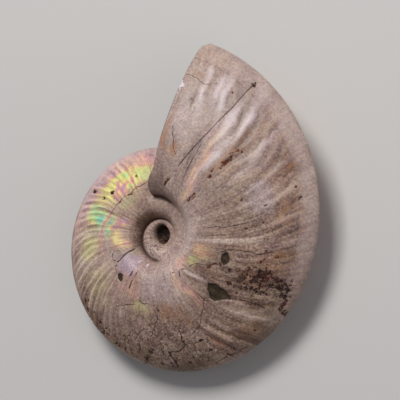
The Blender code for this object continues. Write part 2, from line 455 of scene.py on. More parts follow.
def encloses(outline, point):
    inside = False
    for a, b in zip(outline, outline[1:] + outline[:1]):
        if (a.y > point.y) != (b.y > point.y):
            inside ^= point.x < a.x + (b.x - a.x) * (point.y - a.y) / (b.y - a.y)
    return inside


def nearest(point, others):
    return min((point - other).length for other in others)


def lip_of(outline):
    """The mouth's outer edge: the longer way round between the outline's two seam points."""
    ends = sorted(sorted(range(len(outline)), key=lambda i: outline[i].x)[:2])
    ways = (outline[ends[0] : ends[1] + 1], outline[ends[1] :] + outline[: ends[0] + 1])
    return max(ways, key=lambda way: max(point.x for point in way))


def inset_points(outline, lip, distance):
    """Points at this distance inside the lip."""
    points = []
    for before, here, after in zip(lip, lip[1:], lip[2:]):
        across = Vector((-(after - before).y, (after - before).x)).normalized() * distance
        for point in (here + across, here - across):
            if encloses(outline, point) and nearest(point, lip) > LIP_CLEARANCE * distance:
                points.append(point)
    return points


def close_mouth(bm, loop):
    """Spans the mouth with the shell's broken edge and the sediment behind it. They are laid out flat, as
    distance from the coil's axis and height, and then turned to their place."""
    random = np.random.default_rng(SEED)
    outline = [Vector((vertex.co.xy.length, vertex.co.z)) for vertex in loop]
    lip = lip_of(outline)
    edge_points = inset_points(outline, lip, SHELL_WALL)
    edge_points += inset_points(outline, lip, SHELL_WALL + SEDIMENT_EDGE)
    row_step = math.sin(math.pi / 3)
    half_rows = math.ceil(MOUTH_HALF_THICKNESS / SEDIMENT_GRAIN / row_step)
    grains = []
    for column in range(int(MOUTH_RADIUS / SEDIMENT_GRAIN) + 1):
        for row in range(-half_rows, half_rows + 1):
            point = Vector((column + row % 2 / 2, row * row_step)) * SEDIMENT_GRAIN
            if not encloses(outline, point):
                continue
            if nearest(point, outline + edge_points) > SEDIMENT_GRAIN * GRAIN_CLEARANCE:
                grains.append(point)
    edges = [(i, (i + 1) % len(loop)) for i in range(len(loop))]
    points = outline + edge_points + grains
    flat, _, faces, sources, _, _ = geometry.delaunay_2d_cdt(points, edges, [], 1, SAME_POINT)
    vertices = []
    for point, source in zip(flat, sources):
        if source[0] < len(loop):
            vertices.append(loop[source[0]])
            continue
        share = (point.x / MOUTH_RADIUS - UMBILICUS_SHARE) / (1 - UMBILICUS_SHARE)
        depth = ease(SHELL_WALL, SHELL_WALL + SEDIMENT_EDGE, nearest(point, lip))
        lead = lip_lead(np.float64(share)) - SEDIMENT_SETBACK * depth
        lead -= math.degrees(SEDIMENT_ROUGHNESS / point.x) * random.normal() * depth
        direction = math.radians(MOUTH_DIRECTION + lead)
        place = (point.x * math.cos(direction), point.x * math.sin(direction), point.y)
        vertices.append(bm.verts.new(place))
    for face in faces:
        bm.faces.new([vertices[i] for i in face])


mouth, *inner_ends = open_loops(coil)
close_mouth(coil, mouth)
for loop in inner_ends:
    level = sum(vertex.co.z for vertex in loop) / len(loop)
    middle = coil.verts.new((0, 0, level * PIT_FLOOR_SHARE))
    for a, b in zip(loop, loop[1:] + loop[:1]):
        coil.faces.new((a, b, middle))

# The way it lies
# Nothing holds the stone. It lies on its lower flank, and leans because the last whorl is thicker towards
# the mouth. The high ring that it touches with is worn flat.
REST_LEAN = math.radians(5.6)
REST_WEAR = 0.0006
REST_MARGIN = 0.0005

lean = Matrix.Rotation(REST_LEAN, 4, "X")
smooth_coil.transform(lean)
corners = np.array([vertex.co for vertex in smooth_coil.vertices])
coil_centre = -(corners.min(0) + corners.max(0)) / 2
coil_centre[2] = cad_low.z - corners[:, 2].min() - REST_WEAR
coil.transform(Matrix.Translation(coil_centre) @ lean)
everything = coil.verts[:] + coil.edges[:] + coil.faces[:]
cut = bmesh.ops.bisect_plane(
    coil, geom=everything, plane_co=(0, 0, cad_low.z), plane_no=(0, 0, -1), clear_outer=True
)
cut_edges = [item for item in cut["geom_cut"] if isinstance(item, bmesh.types.BMEdge)]
bmesh.ops.holes_fill(coil, edges=cut_edges, sides=0)
bmesh.ops.recalc_face_normals(coil, faces=coil.faces)
mesh = bpy.data.meshes.new("ammonite shell")
coil.to_mesh(mesh)
coil.free()
mesh.shade_smooth()
shell = bpy.data.objects.new("ammonite_shell", mesh)
bpy.context.scene.collection.objects.link(shell)
mesh.materials.append(shell_material)

# The breaks
# The stone shell is cracked, small plates of it have come off down to the dark rock inside, and red-brown
# pits are eaten into it. Each break is placed in degrees round the coil and by its share of the whorl's
# height. The far flank, which the picture doesn't show, has the same breaks turned to other places.
MILLIMETRE = 0.001
FAR_FLANK_TURN = -206
FAR_AWAY = 9.0
NO_LINE_YET = 1e9
WAVES = 14
WAVE_SPREAD = (0.6, 1.8)
WAVER = 0.35
LONG_WAVE = 0.005
SHORT_WAVE = 0.0022
SHORT_WAVE_SHARE = 0.6
CRACK_DEPTH = 0.00010
CRACK_REACH = 0.7
WIDE_CRACK = 0.25
DROP_REACH = 4
DROP_EDGE = (-0.5, 0.5)
CHIP_EDGE = (-0.35, 0.45)
PLATE_WAVERING = 0.25
PLATE_EDGE = (-0.15, 0.15)
PLATE_STEP = 0.00006
PIT_DEPTH = 0.45 * MILLIMETRE
PIT_EDGE = (-0.5, 0.5)
SMALL_PIT_SPREAD = (0.5, 1.5)

vertex_count = len(mesh.vertices)
corner_vertex = np.empty(len(mesh.loops), int)
mesh.loops.foreach_get("vertex_index", corner_vertex)
corner_place = np.empty(len(mesh.loops) * 3, np.float32)
mesh.attributes["place"].data.foreach_get("vector", corner_place)
corner_place = corner_place.reshape(-1, 3)
corner_on_shell = np.abs(corner_place[:, 2]) > 0.9
place = np.zeros((vertex_count, 3))
place[corner_vertex[corner_on_shell]] = corner_place[corner_on_shell]
degrees_round, height_share, flank_side = place.T
degrees_round = np.where(flank_side < 0, FAR_FLANK_TURN - degrees_round, degrees_round)
coordinates = np.empty(vertex_count * 3)
mesh.vertices.foreach_get("co", coordinates)
coordinates = coordinates.reshape(-1, 3)
random = np.random.default_rng(SEED)


def waver(length):
    """A smooth random value over the stone, mostly from -1 to 1, with waves of about this length."""
    total = np.zeros(vertex_count)
    for _ in range(WAVES):
        direction = random.normal(size=3)
        direction /= np.linalg.norm(direction)
        wave = length * random.uniform(*WAVE_SPREAD)
        total += np.sin(coordinates @ direction * 2 * math.pi / wave + random.uniform(0, 2 * math.pi))
    return total / math.sqrt(WAVES)


jitter_along = WAVER * (waver(LONG_WAVE) + SHORT_WAVE_SHARE * waver(SHORT_WAVE))
jitter_across = WAVER * (waver(LONG_WAVE) + SHORT_WAVE_SHARE * waver(SHORT_WAVE))


def millimetres_per(degrees, share):
    """How long a degree and a whole share of the whorl's height are, at a place on the last whorl."""
    outer = MOUTH_RADIUS / MILLIMETRE * GROWTH_PER_TURN ** ((degrees - MOUTH_DIRECTION) / 360)
    radius = outer * (UMBILICUS_SHARE + (1 - UMBILICUS_SHARE) * share)
    return math.radians(1) * radius, (1 - UMBILICUS_SHARE) * outer


def distance_to_line(points, wavering=1.0):
    """Every vertex's distance in millimetres from a line, and the same with a sign for its side."""
    closest = np.full(vertex_count, NO_LINE_YET)
    signed = np.full(vertex_count, NO_LINE_YET)
    for (degrees_a, share_a), (degrees_b, share_b) in zip(points, points[1:]):
        per_degree, per_share = millimetres_per((degrees_a + degrees_b) / 2, (share_a + share_b) / 2)
        x = (degrees_round - degrees_a) * per_degree + wavering * jitter_along
        y = (height_share - share_a) * per_share + wavering * jitter_across
        span_x = (degrees_b - degrees_a) * per_degree
        span_y = (share_b - share_a) * per_share
        length = math.hypot(span_x, span_y)
        along_x, along_y = span_x / length, span_y / length
        along = np.clip(x * along_x + y * along_y, 0, length)
        distance = np.hypot(x - along * along_x, y - along * along_y)
        closer = distance < closest
        closest = np.where(closer, distance, closest)
        signed = np.where(closer, np.copysign(distance, along_x * y - along_y * x), signed)
    return closest, signed


def depth_in_patch(points):
    """How far inside a patch with straight edges every vertex is, in millimetres, negative outside."""
    inside = np.zeros(vertex_count, bool)
    middle = np.mean(points, axis=0)
    per_degree, per_share = millimetres_per(*middle)
    x = degrees_round + PLATE_WAVERING * jitter_along / per_degree
    y = height_share + PLATE_WAVERING * jitter_across / per_share
    for (ax, ay), (bx, by) in zip(points, points[1:] + points[:1]):
        if ay != by:
            inside ^= ((ay > y) != (by > y)) & (x < ax + (bx - ax) * (y - ay) / (by - ay))
    closest, _ = distance_to_line(points + points[:1], PLATE_WAVERING)
    return np.where(inside, closest, -closest)


def depth_in_pit(degrees_at, share_at, half_length, half_width):
    """How far inside an oval pit every vertex is, in millimetres, negative outside."""
    per_degree, per_share = millimetres_per(degrees_at, share_at)
    x = (degrees_round - degrees_at) * per_degree + jitter_along
    y = (height_share - share_at) * per_share + jitter_across
    return (1 - np.hypot(x / half_length, y / half_width)) * min(half_length, half_width)


# Cracks: half width and the drop to the right-hand side in millimetres, how much it wavers, and the points
CRACKS = [
    (0.16, 0.08, 0.1, [(55, 0.95), (54.6, 0.75), (56, 0.55), (58, 0.40), (60.5, 0.25)]),
    (0.10, 0.00, 0.3, [(55.5, 0.46), (54.5, 0.38), (54, 0.31), (53, 0.24)]),
    (0.38, 0.35, 0.3, [(-146, 0.29), (-148, 0.21), (-150.3, 0.13), (-152, 0.06)]),
    (0.10, 0.10, 0.6, [(-145.5, 0.30), (-141, 0.325), (-137, 0.335)]),
    (0.09, 0.00, 0.5, [(-157, 0.20), (-160, 0.25), (-158, 0.30), (-153, 0.307), (-149, 0.30)]),
    (0.32, 0.00, 0.4, [(-116.5, 0.34), (-116, 0.27)]),
    (0.30, 0.00, 0.4, [(-121.7, 0.245), (-121.7, 0.19)]),
    (0.28, 0.00, 0.4, [(-114.5, 0.20), (-115, 0.16)]),
    (0.10, 0.15, 0.7, [(-121, 0.58), (-116, 0.53), (-110, 0.47), (-106, 0.45)]),
    (0.14, 0.15, 0.6, [(-103, 0.40), (-99, 0.415), (-95, 0.40)]),
    (0.16, 0.20, 0.5, [(-103.4, 0.77), (-101.5, 0.70), (-98, 0.66), (-94.6, 0.64)]),
    (0.15, 0.20, 0.6, [(-93, 0.69), (-91, 0.64), (-88, 0.56), (-86, 0.50), (-85.3, 0.46)]),
    (0.18, 0.00, 0.8, [(-83, 0.95), (-84, 0.83), (-79.6, 0.82), (-75, 0.79)]),
    (0.14, 0.00, 0.6, [(-74.6, 0.72), (-73.7, 0.67)]),
    (0.16, 0.00, 0.6, [(-101.5, 0.88), (-101.7, 0.81)]),
    (0.10, 0.10, 0.9, [(-66.5, 0.69), (-60, 0.64), (-56, 0.57), (-51.5, 0.55), (-48.4, 0.50), (-44.6, 0.55)]),
    (0.20, 0.25, 0.4, [(-51, 0.215), (-48, 0.18), (-46.5, 0.17), (-39, 0.20), (-31.5, 0.225)]),
    (0.13, 0.10, 0.6, [(-31.5, 0.225), (-28.5, 0.265), (-26.5, 0.32), (-22, 0.40)]),
    (0.13, 0.15, 0.5, [(-36, 0.65), (-33, 0.75), (-32, 0.87)]),
    (0.13, 0.15, 0.4, [(-44.3, 0.51), (-48, 0.49), (-49, 0.42)]),
    (0.12, 0.00, 0.5, [(-28.4, 0.78), (-25.3, 0.806), (-19, 0.827)]),
    (0.12, 0.20, 0.7, [(-9, 0.74), (-10.3, 0.64), (-9.6, 0.54), (-10.3, 0.446), (-13, 0.40)]),
    (0.16, -0.2, 0.4, [(-262, 0.53), (-255, 0.49), (-249, 0.46), (-245, 0.465)]),
    (0.10, -0.2, 0.5, [(-245, 0.445), (-236, 0.425), (-226, 0.425), (-215, 0.425), (-204, 0.42)]),
    (0.10, 0.00, 0.8, [(67, 0.78), (69, 0.77), (73, 0.785), (77, 0.78)]),
    (0.12, 0.00, 0.6, [(74, 0.45), (72.5, 0.40), (70.4, 0.36), (66, 0.31)]),
    (0.12, 0.00, 0.6, [(-145, 0.93), (-143, 0.88)]),
    (0.14, 0.00, 0.9, [(-66, 0.98), (-58, 0.95), (-50, 0.97)]),
    (0.09, 0.00, 0.6, [(5, 0.24), (3.5, 0.40), (4.5, 0.52)]),
    (0.12, 0.10, 0.9, [(-112, 0.90), (-108, 0.84), (-109, 0.78), (-106, 0.72)]),
    (0.12, 0.10, 0.9, [(-90, 0.84), (-87, 0.78), (-89, 0.73), (-84, 0.68), (-78, 0.66)]),
    (0.10, 0.10, 0.9, [(-71, 0.86), (-69, 0.78), (-64, 0.76), (-62, 0.82)]),
    (0.14, 0.10, 0.6, [(-74, 0.68), (-75, 0.72), (-73, 0.79)]),
    (0.17, 0.20, 0.6, [(-85, 0.82), (-83.5, 0.87), (-82.5, 0.94)]),
    (0.14, 0.10, 0.6, [(-67, 0.69), (-63.5, 0.66), (-61, 0.66)]),
    (0.10, 0.00, 0.8, [(-76, 0.55), (-75, 0.62)]),
    (0.14, 0.10, 0.6, [(-98, 0.93), (-99.5, 0.99)]),
]

# Plates that came off, down to the dark rock: depth in millimetres and the corners
CHIPS = [
    (0.9, [(-37, 0.64), (-34.8, 0.56), (-34.6, 0.47), (-37, 0.415), (-41, 0.44), (-44.3, 0.51), (-44, 0.55),
           (-39.5, 0.60)]),
    (0.6, [(-21.8, 0.450), (-18, 0.478), (-15.8, 0.470), (-12.0, 0.437), (-15, 0.400), (-19, 0.408)]),
    (0.7, [(-135.5, 0.34), (-132.5, 0.362), (-128.2, 0.354), (-127.8, 0.32), (-131.2, 0.285),
           (-134.4, 0.305)]),
    (0.5, [(-223.2, 0.61), (-220.0, 0.645), (-217.8, 0.605), (-220.5, 0.57)]),
    (0.4, [(-211.8, 0.89), (-209.8, 0.885), (-210, 0.82), (-211.8, 0.82)]),
    (0.4, [(-86.4, 0.46), (-84.6, 0.462), (-84.4, 0.438), (-86, 0.44)]),
]

# Plates of bare nacre with a sharp edge: how much they shine through and the corners
BARE_PLATES = [
    (0.85, [(-152, 0.25), (-149, 0.13), (-143, 0.07), (-134, 0.05), (-122, 0.06), (-118, 0.12), (-121, 0.22),
            (-130, 0.24), (-136, 0.28), (-145, 0.29)]),
    (0.35, [(-160, 0.21), (-153, 0.20), (-150, 0.27), (-153, 0.31), (-158, 0.30)]),
    (0.40, [(23, 0.60), (23, 0.70), (16, 0.745), (8, 0.73), (9, 0.62), (15, 0.57)]),
    (0.30, [(-104, 0.20), (-98, 0.13), (-80, 0.11), (-66, 0.16), (-66, 0.28), (-72, 0.38), (-85, 0.36),
            (-98, 0.40), (-104, 0.32)]),
]

# Pits: degrees, share, half length and half width in millimetres
PITS = [
    (37.9, 0.63, 0.6, 0.7), (39.2, 0.56, 0.7, 1), (38.5, 0.515, 1, 1.6), (37.4, 0.54, 0.6, 0.6),
    (39.6, 0.5, 0.5, 0.8), (40.4, 0.4, 0.6, 0.7), (37.9, 0.37, 0.7, 0.9), (35, 0.15, 0.6, 0.5),
    (35.6, 0.172, 0.5, 0.6), (35.2, 0.19, 0.8, 0.5), (34.4, 0.208, 0.5, 0.6), (34.2, 0.228, 0.7, 0.5),
    (17.3, 0.525, 0.7, 0.7), (2, 0.535, 0.5, 0.6), (11.6, 0.675, 0.6, 0.6), (12.3, 0.9, 0.7, 0.8),
    (54.9, 0.93, 0.8, 1.3), (-246.8, 0.61, 0.5, 0.7), (-211.5, 0.67, 0.4, 0.5), (-56, 0.16, 0.8, 0.6),
    (-29, 0.64, 1, 0.8), (-28.4, 0.67, 0.7, 0.7), (-24.6, 0.63, 1.6, 0.9), (-23, 0.6, 0.7, 0.6),
    (-29.6, 0.54, 0.5, 0.9), (-22, 0.69, 1.2, 1.3), (-20.6, 0.76, 0.9, 1.3), (-19.4, 0.72, 1.2, 0.9),
    (-21.4, 0.71, 0.6, 1.1), (-18.2, 0.765, 0.8, 0.9), (-18, 0.71, 1.2, 1), (-21.5, 0.77, 1, 1.2),
    (-17.3, 0.67, 0.7, 0.8), (-26.5, 0.7, 0.7, 0.8), (-18.5, 0.63, 0.5, 0.6), (-144, 0.9, 0.8, 1.2),
    (-125, 0.94, 0.8, 1.2), (-236, 0.42, 1, 0.35), (-221, 0.425, 0.8, 0.3), (-217, 0.42, 0.9, 0.3),
    (-20.8, 0.9, 1, 1), (-19.6, 0.86, 0.8, 1.2), (-25, 0.94, 1.2, 0.8), (-22.8, 0.51, 0.6, 0.5),
    (-26, 0.35, 0.9, 0.9), (-22, 0.39, 0.7, 0.6), (62, 0.165, 0.5, 0.4), (-30, 0.96, 1, 0.8),
    (70.5, 0.655, 0.3, 0.5), (58.5, 0.83, 0.5, 0.5), (-98, 0.92, 0.6, 0.9),
]

# Eaten gashes: half width in millimetres and the points
GASHES = [
    (0.34, [(62.5, 0.17), (66, 0.13), (70, 0.09)]),
    (0.42, [(-19.2, 0.81), (-20.0, 0.875), (-22.2, 0.922), (-25, 0.945), (-27, 0.955)]),
    (0.30, [(-30.2, 0.975), (-32.5, 0.985)]),
    (0.22, [(-34, 0.75), (-33, 0.80), (-32.5, 0.86)]),
    (0.25, [(-31, 0.60), (-26, 0.62), (-21, 0.63)]),
    (0.30, [(-29, 0.61), (-28, 0.68)]),
    (0.20, [(-24, 0.34), (-21, 0.42), (-23, 0.47)]),
    (0.16, [(-22.6, 0.475), (-25.0, 0.458)]),
]

# Places peppered with small pits: degrees, share, spread in both, how many, half size in millimetres
PEPPERED = [
    (-21, 0.73, 4, 0.05, 46, 0.4), (-25, 0.61, 4.5, 0.035, 20, 0.35), (-20.6, 0.875, 1.4, 0.03, 26, 0.45),
    (-25, 0.94, 2.5, 0.015, 14, 0.45), (-29.5, 0.97, 1.5, 0.008, 7, 0.4), (-92, 0.85, 20, 0.07, 12, 0.35),
    (-58, 0.94, 13, 0.03, 12, 0.45), (-132, 0.92, 11, 0.035, 24, 0.45), (38.5, 0.57, 1, 0.05, 5, 0.45),
    (6, 0.78, 12, 0.09, 6, 0.3), (66, 0.78, 5, 0.08, 5, 0.25), (-10, 0.7, 3, 0.06, 8, 0.35),
    (-30, 0.5, 4, 0.05, 6, 0.35),
]

crack_near = np.zeros(vertex_count)
crack_side = np.full(vertex_count, FAR_AWAY)
sunk = np.zeros(vertex_count)
for half_width, drop, wavering, points in CRACKS:
    closest, signed = distance_to_line(points, wavering)
    near = np.exp(-((closest / CRACK_REACH) ** 2))
    crack_side = np.where(near > crack_near, np.clip(signed / half_width, -FAR_AWAY, FAR_AWAY), crack_side)
    crack_near = np.maximum(crack_near, near)
    sunk += CRACK_DEPTH * near * half_width / WIDE_CRACK
    sunk += drop * MILLIMETRE * ease(*DROP_EDGE, -signed) * np.exp(-((closest / DROP_REACH) ** 2))

chip_depth = np.full(vertex_count, -FAR_AWAY)
for depth, corners in CHIPS:
    inside = depth_in_patch(corners)
    chip_depth = np.maximum(chip_depth, inside)
    sunk += depth * MILLIMETRE * ease(*CHIP_EDGE, inside)

bare = np.zeros(vertex_count)
for strength, corners in BARE_PLATES:
    inside = ease(*PLATE_EDGE, depth_in_patch(corners))
    bare = np.maximum(bare, strength * inside)
    sunk += PLATE_STEP * inside

pit_depth = np.full(vertex_count, -FAR_AWAY)
for pit in PITS:
    pit_depth = np.maximum(pit_depth, depth_in_pit(*pit))
for half_width, points in GASHES:
    pit_depth = np.maximum(pit_depth, half_width - distance_to_line(points)[0])
for degrees_at, share_at, spread, share_spread, count, half_size in PEPPERED:
    for _ in range(count):
        scattered = random.normal((degrees_at, share_at), (spread, share_spread))
        half_sizes = half_size * random.uniform(*SMALL_PIT_SPREAD, 2)
        pit_depth = np.maximum(pit_depth, depth_in_pit(*scattered, *half_sizes))
sunk += PIT_DEPTH * ease(*PIT_EDGE, pit_depth)

# The dark middle
# The first whorls have crumbled away. What is left of them is a hole in the middle of each flank, which
# goes down into dark mud. The mud's darkness is partly painted shade down in the hole.
HOLE_OFFSET = (-0.0006, 0.0006)
HOLE_HALF_SIZES = (0.0031, 0.0041)
HOLE_DEPTH = 0.0022
HOLE_RIM = (0.75, 1.1)

sediment = np.where(np.abs(flank_side) > 0.5, 0.0, 1.0)
older = (place[:, 0] - MOUTH_DIRECTION) / 360
from_axis = (coordinates - np.array(coil_centre)) @ np.array(lean.to_3x3())
hole_x = (from_axis[:, 0] - HOLE_OFFSET[0] * np.sign(flank_side)) / HOLE_HALF_SIZES[0]
hole_y = (from_axis[:, 1] - HOLE_OFFSET[1]) / HOLE_HALF_SIZES[1]
hole = (1 - ease(*HOLE_RIM, np.hypot(hole_x, hole_y))) * ((older < -1) | (sediment > 0.5))
sediment = np.where(sediment > 0.5, 1.0, hole)

# The nacre and the stains
# Under the worn outer layer lies nacre, whose thin films give bands of yellow, green, rose and violet. Iron
# has stained the rest from grey-rose to brown. Each is laid on in broad soft strokes, the last on top.

# How pale the stone is, with painted shade in it: darker towards the bottom and along the lower venter, in
# the crease round the middle, on the slope under the lip and at the chamber's lower corner. Each stroke gives
# degrees, share, how far the stroke reaches in both and its value, and then its strength where that isn't 1
# and its slant in degrees per share where it has one. The next tables are alike.
PALENESS_AND_SHADE = [
    (60, 0.5, 40, 0.6, 0.55), (8, 0.6, 28, 0.6, 0.44, 0.95), (-30, 0.6, 25, 0.6, 0.34, 0.9),
    (-85, 0.8, 45, 0.45, 0.39, 0.9), (-75, 0.22, 32, 0.2, 0.67, 0.8), (-130, 0.9, 35, 0.18, 0.41, 0.8),
    (-180, 0.5, 45, 0.6, 0.72, 0.85), (-225, 0.9, 40, 0.2, 0.8, 0.9), (-170, 1, 36, 0.05, 0.26, 0.9),
    (33, 0.96, 50, 0.06, 0.66, 0.95), (15, 0.62, 5, 0.09, 0.62, 0.7), (39, 0.6, 3, 0.22, 0.52, 0.7, 18),
    (-230, 0.15, 40, 0.2, 0.46, 0.7), (68, 0.52, 7, 0.17, 0.7, 0.8), (60, 0.24, 13, 0.12, 0.58, 0.8),
    (-225, 0.02, 52, 0.07, 0.06, 0.95), (74, 0.12, 6, 0.12, 0.42, 0.7), (-165, 0.02, 20, 0.05, 0.25, 0.8),
    (-22, 0.7, 8, 0.14, 0.3, 0.7), (-132, 0.1, 22, 0.08, 0.74, 0.8), (-50, 0.12, 14, 0.1, 0.68, 0.7),
    (-262, 0.38, 7, 0.1, 0.4, 0.6), (46, 0.5, 3, 0.35, 0.8, 0.6, 10), (70, 0.85, 12, 0.1, 0.66, 0.5),
    (19, 0.74, 4, 0.1, 0.6, 0.6, 22), (11, 0.84, 4, 0.07, 0.36, 0.6, 22),
    (33, 0.7, 2.5, 0.16, 0.66, 0.6, 20), (-5, 0.5, 3, 0.3, 0.62, 0.6, 8), (-79, 0.97, 9, 0.05, 0.12, 0.8),
    (-137, 0.93, 10, 0.05, 0.22, 0.8), (-44, 0.95, 9, 0.07, 0.16, 0.85),
    (-47, 0.85, 4, 0.06, 0.26, 0.7, 10), (-58, 0.93, 6, 0.06, 0.24, 0.6), (-72, 0.93, 7, 0.06, 0.2, 0.6),
    (-30, 0.9, 5, 0.08, 0.3, 0.5), (-100, 0.93, 8, 0.06, 0.22, 0.6), (-40, 0.72, 5, 0.1, 0.52, 0.6, 20),
    (-12, 0.84, 5, 0.08, 0.34, 0.5, 10), (-33, 0.81, 1.5, 0.06, 0.12, 0.8, 10),
    (-34, 0.9, 3, 0.05, 0.26, 0.7, 10), (10, 0.2, 30, 0.16, 0.6, 0.6), (20, 0.08, 50, 0.1, 0.66, 0.7),
    (-20, 0.04, 65, 0.12, 0.84, 0.9), (-420, 0.08, 110, 0.3, 0.7, 0.9), (-295, 0.06, 25, 0.06, 0.5, 0.6),
    (-80, 0.6, 7, 0.1, 0.5, 0.6), (-98, 0.6, 6, 0.1, 0.48, 0.6),
]

# How warm the stone's colour is
WARMTH = [
    (60, 0.6, 35, 0.6, 0.06), (5, 0.75, 35, 0.4, 0.6, 0.8), (-80, 0.5, 20, 0.15, 0.8, 0.7),
    (-170, 0.7, 40, 0.4, 0.65, 0.8), (-140, 0.95, 40, 0.12, 0.9, 0.8), (-75, 0.25, 25, 0.2, 0.25, 0.8),
    (5, 0.96, 72, 0.07, 0.22, 0.9), (14, 0.62, 9, 0.14, 0.15, 0.8), (-52, 0.82, 16, 0.14, 0.75, 0.9),
    (38, 0.6, 4, 0.25, 0.7, 0.7, 18), (72, 0.92, 10, 0.08, 0.7, 0.7), (-90, 0.85, 30, 0.15, 0.65, 0.7),
    (-420, 0.08, 110, 0.3, 0.4, 0.8), (-20, 0.06, 60, 0.12, 0.3, 0.8),
]

# The colour of the nacre's films, from rose at 0 through yellow and green to blue at 1
NACRE_HUE = [
    (-232, 0.64, 34, 0.24, 0.48), (-240, 0.86, 34, 0.13, 0.2), (-240, 0.97, 40, 0.06, 0.06),
    (-259, 0.86, 6, 0.13, 0.12, 1, 20), (-256, 0.62, 8, 0.12, 0.58, 0.9), (-217, 0.55, 8, 0.13, 0.46, 0.9),
    (-236, 0.71, 8, 0.05, 0.62, 0.9), (-239, 0.5, 4, 0.09, 0.64, 0.9),
    (-231, 0.535, 4.5, 0.07, 0.02, 1, -20), (-226, 0.6, 2.5, 0.08, 0, 0.9, -40),
    (-236, 0.58, 2.5, 0.04, 0.1, 0.8, -30), (-222, 0.5, 5, 0.06, 0.22, 0.9, -20),
    (-243, 0.61, 3, 0.07, 0.12, 0.9, -20), (-232, 0.46, 9, 0.035, 0.11, 0.9),
    (-251, 0.465, 8, 0.035, 0.24, 0.9), (-208, 0.6, 4, 0.16, 0.42, 0.9),
    (-199, 0.61, 7, 0.17, 0.68, 1, -12), (-192, 0.53, 7, 0.08, 0.82), (-190, 0.36, 14, 0.06, 0.86),
    (-184, 0.6, 5, 0.14, 0.55, 0.8), (-182, 0.445, 22, 0.026, 0.07), (-200, 0.26, 6, 0.07, 0.13, 1, 30),
    (-207, 0.88, 26, 0.1, 0.07), (-204, 0.18, 5, 0.05, 0.02), (-192, 0.27, 4, 0.1, 0.05, 0.9, 20),
    (-174, 0.23, 12, 0.09, 0.4, 1, -60), (-166, 0.12, 9, 0.045, 0.22, 1, -40),
    (-172, 0.62, 9, 0.17, 0.55, 0.9), (-145, 0.6, 15, 0.21, 0.44, 0.9), (-122, 0.38, 5, 0.06, 0.16, 0.9),
    (-111, 0.32, 7, 0.11, 0.23), (-101, 0.45, 10, 0.06, 0.5), (-54, 0.32, 5, 0.22, 0.2, 1, 18),
    (-17, 0.24, 8, 0.1, 0.27), (-29, 0.2, 6, 0.045, 0.54), (-40, 0.11, 13, 0.06, 0.19),
    (46, 0.3, 5, 0.32, 0.17, 1, 25), (41, 0.12, 6, 0.09, 0.28, 0.8, 25), (-131, 0.18, 17, 0.12, 0.02, 0.9),
    (-228, 0.33, 15, 0.06, 0.58, 0.9), (-143, 0.07, 7, 0.03, 0.8, 0.8), (-110, 0.08, 24, 0.05, 0.05, 0.8),
]

# How much the nacre's films show
NACRE = [
    (-235, 0.64, 34, 0.2, 0.98), (-256, 0.84, 8, 0.11, 0.75, 0.9, 15), (-232, 0.9, 28, 0.09, 0.36, 0.9),
    (-196, 0.88, 20, 0.1, 0.28, 0.9), (-228, 0.32, 20, 0.07, 0.3, 0.8), (-196, 0.58, 9, 0.16, 0.85, 1, -20),
    (-190, 0.36, 13, 0.06, 0.6), (-198, 0.23, 9, 0.09, 0.65, 1, 30), (-182, 0.445, 22, 0.022, 0.45),
    (-174, 0.22, 12, 0.08, 0.8, 1, -60), (-166, 0.12, 8, 0.04, 0.75, 1, -40), (-173, 0.62, 8, 0.15, 0.5),
    (-145, 0.6, 15, 0.18, 0.22), (-122, 0.38, 5, 0.05, 0.45), (-112, 0.32, 6, 0.1, 0.3),
    (-101, 0.45, 10, 0.05, 0.25), (-54, 0.32, 4, 0.2, 0.38, 1, 18), (-17, 0.24, 6, 0.09, 0.55),
    (-29, 0.2, 5, 0.04, 0.45), (-40, 0.11, 12, 0.05, 0.55), (46, 0.3, 3, 0.28, 0.45, 1, 25),
    (-131, 0.18, 15, 0.1, 0.48), (-205, 0.5, 1.8, 0.18, 0.15, 1, 10), (-214, 0.72, 2, 0.14, 0.35, 0.8, 10),
    (-187, 0.66, 1.5, 0.16, 0.15, 1, 12), (-228, 0.8, 3, 0.06, 0.65, 0.8, 15),
]

# Rust stains
RUST = [
    (76, 0.42, 1.8, 0.14, 1, 1, -6), (71, 0.33, 1.4, 0.06, 0.9, 0.9, -6), (52, 0.02, 14, 0.03, 0.45, 0.8),
    (68, 0.33, 2.5, 0.05, 0.8, 0.9), (70, 0.79, 6, 0.03, 0.4, 0.9), (-128, 0.93, 26, 0.05, 0.45, 0.9),
    (-80, 0.47, 10, 0.08, 0.4, 0.9), (-22, 0.7, 8, 0.12, 0.3, 0.9), (15, 0.8, 25, 0.15, 0.22, 0.8),
    (-212, 0.72, 4, 0.15, 0.35, 0.8), (39, 0.52, 3, 0.22, 0.5, 0.8, 12),
    (25, 0.865, 2.2, 0.03, 0.8, 0.8, 15), (7, 0.82, 4, 0.06, 0.45, 0.8, 15),
    (-60, 0.87, 4, 0.05, 0.5, 0.8, 15), (-12, 0.78, 5, 0.1, 0.5, 0.7, 10), (-258, 0.5, 10, 0.03, 0.6, 0.8),
    (-66, 0.55, 5, 0.08, 0.4, 0.8), (-57, 0.8, 4, 0.08, 0.4, 0.8, 15), (-45, 0.88, 4, 0.05, 0.45, 0.8, 15),
    (-74, 0.47, 6, 0.04, 0.45, 0.8),
]

# Where the outer layer is worn and flaky
WORN = [
    (-85, 0.75, 35, 0.3, 1), (-24, 0.74, 9, 0.16, 1, 0.9), (-28, 0.5, 12, 0.14, 0.6, 0.8),
    (-125, 0.92, 25, 0.1, 0.8, 0.8), (2, 0.62, 22, 0.28, 0.45, 0.8), (-80, 0.22, 22, 0.16, 0.25, 0.8),
    (-23, 0.91, 6, 0.07, 1, 0.9), (55, 0.93, 2, 0.03, 0.9, 0.9), (-490, 0.15, 60, 0.35, 0.85, 0.9),
]

